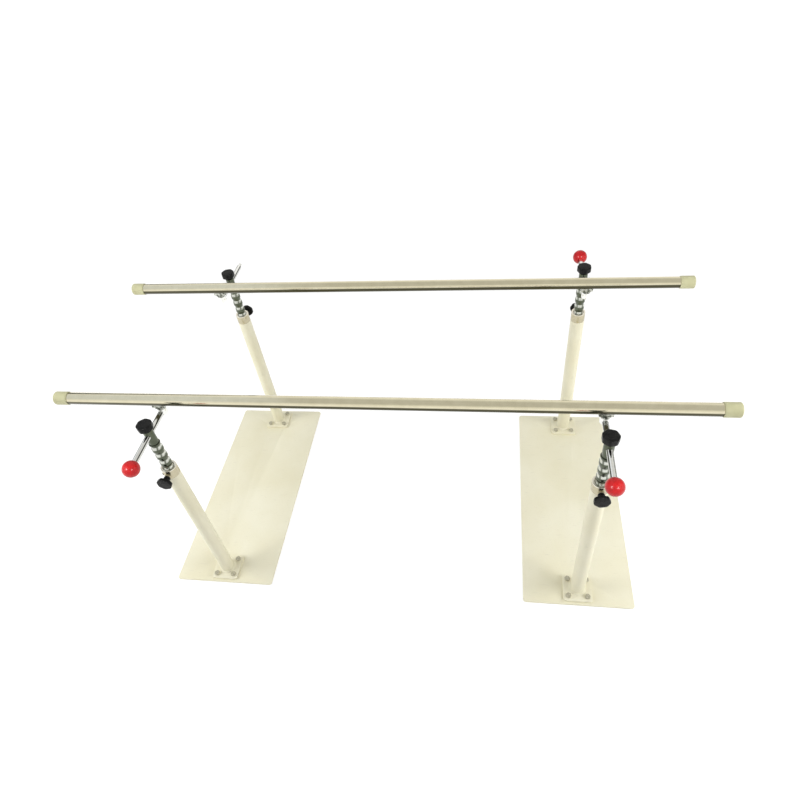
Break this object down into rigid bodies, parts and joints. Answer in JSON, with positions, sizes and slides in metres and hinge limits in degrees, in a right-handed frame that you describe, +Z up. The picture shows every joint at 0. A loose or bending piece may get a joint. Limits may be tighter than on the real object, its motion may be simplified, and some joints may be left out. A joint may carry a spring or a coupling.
{
  "type": "rehab walking parallel bars",
  "caption": "Free-standing parallel walking bars: round handrails on telescoping ring-grooved columns with clamp heads and star knobs, standing on flat floor plates.",
  "frame": {"origin": "on the floor, in the middle of the walking lane", "axes": "+X along the rails to the right of the picture, +Y across the lane to the far rail, +Z up"},
  "size_m": [2, 1.09, 0.863],
  "materials": {
    "cream_paint": "satin",
    "cap_plastic": "satin",
    "knob_plastic": "satin",
    "grip_plastic": "gloss",
    "chrome": "polished",
    "mast_chrome": "polished",
    "rail_steel": "polished",
    "zinc_steel": "satin"
  },
  "bodies": {
    "root": {"base_plate_left": "cream_paint", "base_plate_right": "cream_paint", "near_left_post": "cream_paint", "near_left_guide_collar": "zinc_steel", "near_left_flange_bolt_1": "zinc_steel", "near_left_flange_bolt_2": "zinc_steel", "near_left_flange_bolt_3": "zinc_steel", "near_left_flange_bolt_4": "zinc_steel", "near_right_post": "cream_paint", "near_right_guide_collar": "zinc_steel", "near_right_flange_bolt_1": "zinc_steel", "near_right_flange_bolt_2": "zinc_steel", "near_right_flange_bolt_3": "zinc_steel", "near_right_flange_bolt_4": "zinc_steel", "far_left_post": "cream_paint", "far_left_guide_collar": "zinc_steel", "far_left_flange_bolt_1": "zinc_steel", "far_left_flange_bolt_2": "zinc_steel", "far_left_flange_bolt_3": "zinc_steel", "far_left_flange_bolt_4": "zinc_steel", "far_right_post": "cream_paint", "far_right_guide_collar": "zinc_steel", "far_right_flange_bolt_1": "zinc_steel", "far_right_flange_bolt_2": "zinc_steel", "far_right_flange_bolt_3": "zinc_steel", "far_right_flange_bolt_4": "zinc_steel"},
    "near_left_mast_body": {"near_left_mast": "mast_chrome"},
    "near_left_head_body": {"near_left_clamp_head": "mast_chrome"},
    "near_left_clamp_knob_body": {"near_left_clamp_knob": "knob_plastic"},
    "near_left_lock_knob_body": {"near_left_lock_knob": "knob_plastic"},
    "near_left_rod_body": {"near_left_width_rod": "chrome", "near_left_ball_grip": "grip_plastic"},
    "near_right_mast_body": {"near_right_mast": "mast_chrome"},
    "near_right_head_body": {"near_right_clamp_head": "mast_chrome"},
    "near_right_clamp_knob_body": {"near_right_clamp_knob": "knob_plastic"},
    "near_right_lock_knob_body": {"near_right_lock_knob": "knob_plastic"},
    "near_right_rod_body": {"near_right_width_rod": "chrome", "near_right_ball_grip": "grip_plastic"},
    "far_left_mast_body": {"far_left_mast": "mast_chrome"},
    "far_left_head_body": {"far_left_clamp_head": "mast_chrome"},
    "far_left_clamp_knob_body": {"far_left_clamp_knob": "knob_plastic"},
    "far_left_lock_knob_body": {"far_left_lock_knob": "knob_plastic"},
    "far_left_rod_body": {"far_left_width_rod": "chrome"},
    "far_right_mast_body": {"far_right_mast": "mast_chrome"},
    "far_right_head_body": {"far_right_clamp_head": "mast_chrome"},
    "far_right_clamp_knob_body": {"far_right_clamp_knob": "knob_plastic"},
    "far_right_lock_knob_body": {"far_right_lock_knob": "knob_plastic"},
    "far_right_rod_body": {"far_right_width_rod": "chrome", "far_right_ball_grip": "grip_plastic"},
    "near_rail_body": {"near_rail": "rail_steel", "near_rail_cap_left": "cap_plastic", "near_rail_cap_right": "cap_plastic", "near_left_rail_bracket": "chrome", "near_right_rail_bracket": "chrome"},
    "far_rail_body": {"far_rail": "rail_steel", "far_rail_cap_left": "cap_plastic", "far_rail_cap_right": "cap_plastic", "far_left_rail_bracket": "chrome", "far_right_rail_bracket": "chrome"}
  },
  "joints": [
    {"name": "near_left_height", "type": "slide", "parent": "root", "child": "near_left_mast_body", "axis": [0, 0, 1], "range_m": [-0.128, 0.128]},
    {"name": "near_left_swivel", "type": "hinge", "parent": "near_left_mast_body", "child": "near_left_head_body", "pos_m": [-0.66, -0.39, 0.797], "axis": [0, 0, 1], "range_deg": [-20, 20]},
    {"name": "near_left_width", "type": "slide", "parent": "near_left_head_body", "child": "near_left_rod_body", "axis": [0, -1, 0], "range_m": [-0.07, 0.05]},
    {"name": "near_left_clamp_turn", "type": "hinge", "parent": "near_left_head_body", "child": "near_left_clamp_knob_body", "pos_m": [-0.66, -0.39, 0.837], "axis": [0, 0, 1], "range_deg": [0, 540]},
    {"name": "near_left_lock_turn", "type": "hinge", "parent": "root", "child": "near_left_lock_knob_body", "pos_m": [-0.66, -0.435, 0.622], "axis": [0, -1, 0], "range_deg": [0, 540]},
    {"name": "near_right_height", "type": "slide", "parent": "root", "child": "near_right_mast_body", "axis": [0, 0, 1], "range_m": [-0.128, 0.128]},
    {"name": "near_right_swivel", "type": "hinge", "parent": "near_right_mast_body", "child": "near_right_head_body", "pos_m": [0.66, -0.39, 0.797], "axis": [0, 0, 1], "range_deg": [-20, 20]},
    {"name": "near_right_width", "type": "slide", "parent": "near_right_head_body", "child": "near_right_rod_body", "axis": [0, -1, 0], "range_m": [-0.07, 0.05]},
    {"name": "near_right_clamp_turn", "type": "hinge", "parent": "near_right_head_body", "child": "near_right_clamp_knob_body", "pos_m": [0.66, -0.39, 0.837], "axis": [0, 0, 1], "range_deg": [0, 540]},
    {"name": "near_right_lock_turn", "type": "hinge", "parent": "root", "child": "near_right_lock_knob_body", "pos_m": [0.66, -0.435, 0.622], "axis": [0, -1, 0], "range_deg": [0, 540]},
    {"name": "far_left_height", "type": "slide", "parent": "root", "child": "far_left_mast_body", "axis": [0, 0, 1], "range_m": [-0.128, 0.128]},
    {"name": "far_left_swivel", "type": "hinge", "parent": "far_left_mast_body", "child": "far_left_head_body", "pos_m": [-0.66, 0.39, 0.797], "axis": [0, 0, 1], "range_deg": [-20, 20]},
    {"name": "far_left_width", "type": "slide", "parent": "far_left_head_body", "child": "far_left_rod_body", "axis": [0, 1, 0], "range_m": [-0.07, 0.05]},
    {"name": "far_left_clamp_turn", "type": "hinge", "parent": "far_left_head_body", "child": "far_left_clamp_knob_body", "pos_m": [-0.66, 0.39, 0.837], "axis": [0, 0, 1], "range_deg": [0, 540]},
    {"name": "far_left_lock_turn", "type": "hinge", "parent": "root", "child": "far_left_lock_knob_body", "pos_m": [-0.66, 0.435, 0.622], "axis": [0, 1, 0], "range_deg": [0, 540]},
    {"name": "far_right_height", "type": "slide", "parent": "root", "child": "far_right_mast_body", "axis": [0, 0, 1], "range_m": [-0.128, 0.128]},
    {"name": "far_right_swivel", "type": "hinge", "parent": "far_right_mast_body", "child": "far_right_head_body", "pos_m": [0.66, 0.39, 0.797], "axis": [0, 0, 1], "range_deg": [-20, 20]},
    {"name": "far_right_width", "type": "slide", "parent": "far_right_head_body", "child": "far_right_rod_body", "axis": [0, 1, 0], "range_m": [-0.07, 0.05]},
    {"name": "far_right_clamp_turn", "type": "hinge", "parent": "far_right_head_body", "child": "far_right_clamp_knob_body", "pos_m": [0.66, 0.39, 0.837], "axis": [0, 0, 1], "range_deg": [0, 540]},
    {"name": "far_right_lock_turn", "type": "hinge", "parent": "root", "child": "far_right_lock_knob_body", "pos_m": [0.66, 0.435, 0.622], "axis": [0, 1, 0], "range_deg": [0, 540]},
    {"name": "near_rail_pivot", "type": "hinge", "parent": "near_left_rod_body", "child": "near_rail_body", "pos_m": [-0.66, -0.289, 0.797], "axis": [0, 0, 1], "range_deg": [-20, 20]},
    {"name": "far_rail_pivot", "type": "hinge", "parent": "far_left_rod_body", "child": "far_rail_body", "pos_m": [-0.66, 0.289, 0.797], "axis": [0, 0, 1], "range_deg": [-20, 20]}
  ],
  "couplings": [
    {"joint": "near_right_height", "follows": "near_left_height", "ratio": 1},
    {"joint": "near_right_swivel", "follows": "near_left_swivel", "ratio": 1},
    {"joint": "near_rail_pivot", "follows": "near_left_swivel", "ratio": -1},
    {"joint": "near_right_width", "follows": "near_left_width", "ratio": 1},
    {"joint": "far_right_height", "follows": "far_left_height", "ratio": 1},
    {"joint": "far_right_swivel", "follows": "far_left_swivel", "ratio": 1},
    {"joint": "far_rail_pivot", "follows": "far_left_swivel", "ratio": -1},
    {"joint": "far_right_width", "follows": "far_left_width", "ratio": 1}
  ]
}
